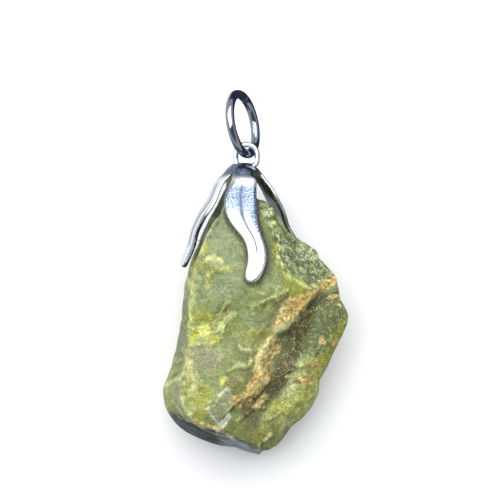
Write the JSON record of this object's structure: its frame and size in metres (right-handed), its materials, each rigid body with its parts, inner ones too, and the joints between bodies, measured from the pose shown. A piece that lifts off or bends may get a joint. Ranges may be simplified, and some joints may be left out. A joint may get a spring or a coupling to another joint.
{
  "type": "rough green opal pendant",
  "caption": "Rough chunk of green opal with a tan crust vein, gripped by a silver bail cap with wavy leaf prongs and a jump ring through its eye.",
  "frame": {"origin": "middle of the bounding box in X and Y, on the surface that the stone lies on", "axes": "+X to the right and +Y up to the ring as the picture shows it, +Z out of the surface towards the viewer"},
  "size_m": [0.0242, 0.0472, 0.0155],
  "materials": {
    "opal_green": "waxy broken face, tan crust in the seam",
    "silver_cap": "bright plate, slightly satin",
    "silver_ring": "bright plate"
  },
  "bodies": {
    "pendant": {"opal": "opal_green", "bail_cap": "silver_cap"},
    "ring": {"jump_ring": "silver_ring"}
  },
  "joints": [
    {"name": "ring_swing", "type": "hinge", "parent": "pendant", "child": "ring", "pos_m": [-0.00117, 0.01654, 0.0075], "axis": [0.9065, 0.1598, 0.3907], "range_deg": [-35, 35]}
  ]
}
